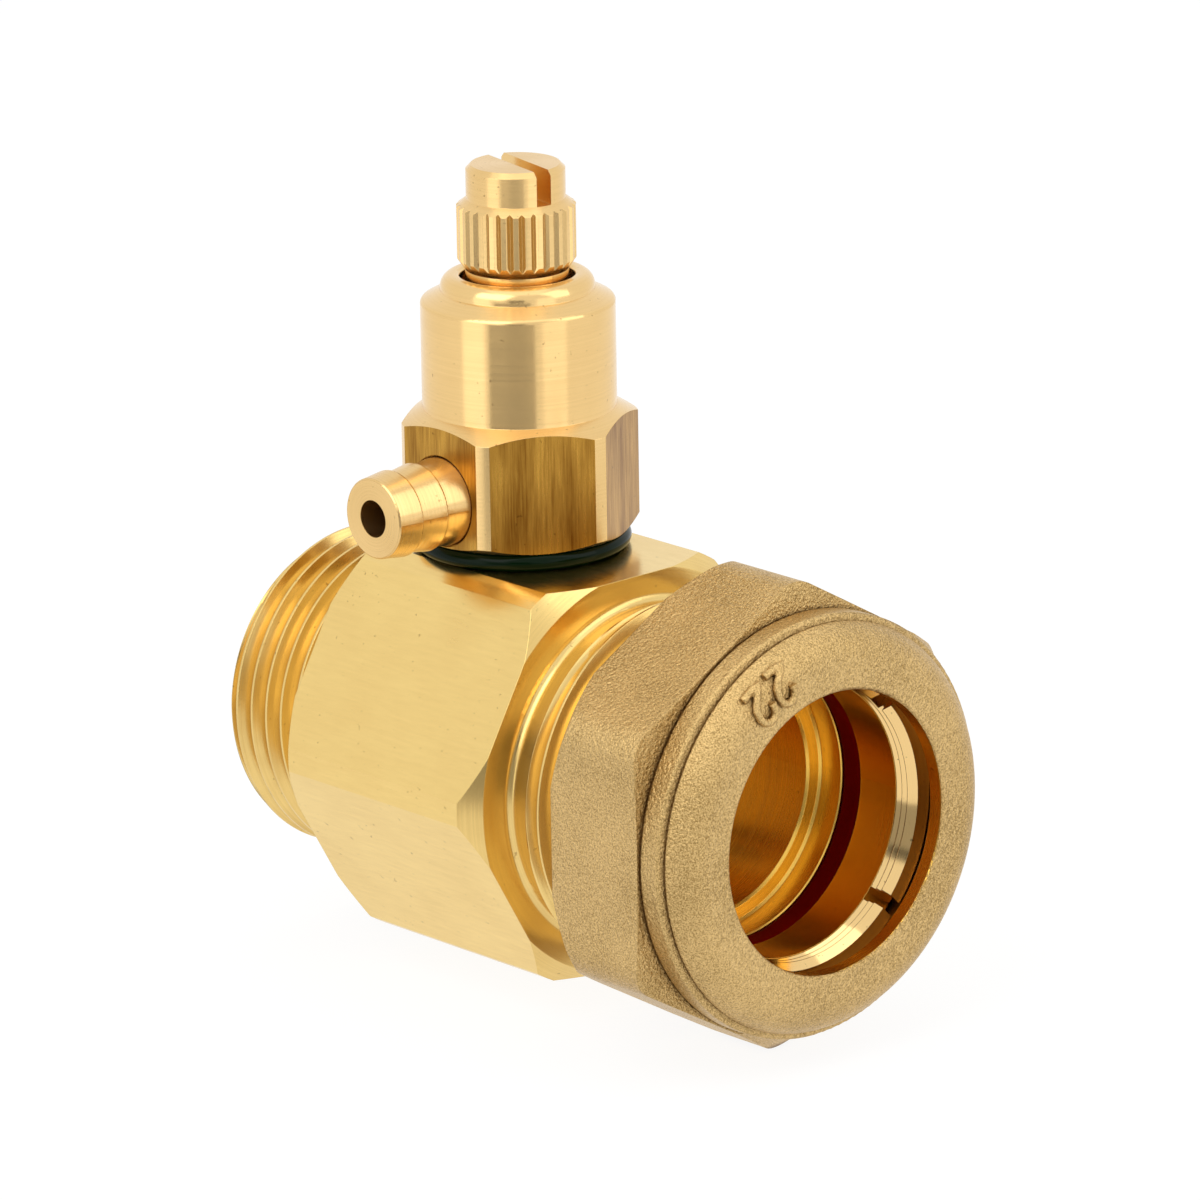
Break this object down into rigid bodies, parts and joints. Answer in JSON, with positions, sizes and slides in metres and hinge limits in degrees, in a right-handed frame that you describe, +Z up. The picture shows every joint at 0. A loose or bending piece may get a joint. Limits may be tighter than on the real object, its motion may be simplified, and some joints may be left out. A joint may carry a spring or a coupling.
{
  "type": "manual air vent",
  "caption": "Brass pipe fitting with a male tail thread, a compression nut for copper pipe and a screw-down air vent that drains through a side hose nozzle.",
  "frame": {"origin": "on the pipe axis, at the shoulder where the tail thread meets the hexagon block", "axes": "+X along the pipe toward the compression nut, +Z up the axis of the vent, the hose nozzle points along -Y"},
  "size_m": [0.0582, 0.0358, 0.0665],
  "materials": {
    "body_brass": "bright machined brass",
    "nut_brass": "forged and blasted brass, matt",
    "ring_brass": "turned brass, satin",
    "grip_brass": "turned brass, bright",
    "red_rubber": "smooth red rubber",
    "vent_brass": "turned and drawn brass, satin",
    "green_rubber": "glossy dark green rubber",
    "nozzle_brass": "turned brass, satin",
    "screw_brass": "turned and knurled brass",
    "black_rubber": "black rubber"
  },
  "bodies": {
    "fitting": {"body": "body_brass", "pipe_seal": "red_rubber", "vent_body": "vent_brass", "vent_seal": "green_rubber", "hose_nozzle": "nozzle_brass"},
    "valve_disc": {"seat_disc": "black_rubber"},
    "screw": {"vent_screw": "screw_brass", "screw_seal": "black_rubber"},
    "clamp_rings": {"thrust_ring": "ring_brass", "grip_ring": "grip_brass"},
    "nut": {"compression_nut": "nut_brass"}
  },
  "joints": [
    {"name": "disc_lift", "type": "slide", "parent": "fitting", "child": "valve_disc", "axis": [0, 0, 1], "range_m": [0, 0.002]},
    {"name": "screw_turn", "type": "hinge", "parent": "valve_disc", "child": "screw", "pos_m": [0.0098, 0, 0.03], "axis": [0, 0, 1], "range_deg": [0, 722]},
    {"name": "rings_slide", "type": "slide", "parent": "fitting", "child": "clamp_rings", "axis": [1, 0, 0], "range_m": [0, 0.004]},
    {"name": "nut_turn", "type": "hinge", "parent": "clamp_rings", "child": "nut", "pos_m": [0.038, 0, 0], "axis": [1, 0, 0], "range_deg": [0, 722]}
  ],
  "couplings": [
    {"joint": "screw_turn", "follows": "disc_lift", "rad_per_m": 6283.2},
    {"joint": "nut_turn", "follows": "rings_slide", "rad_per_m": 3141.6}
  ]
}
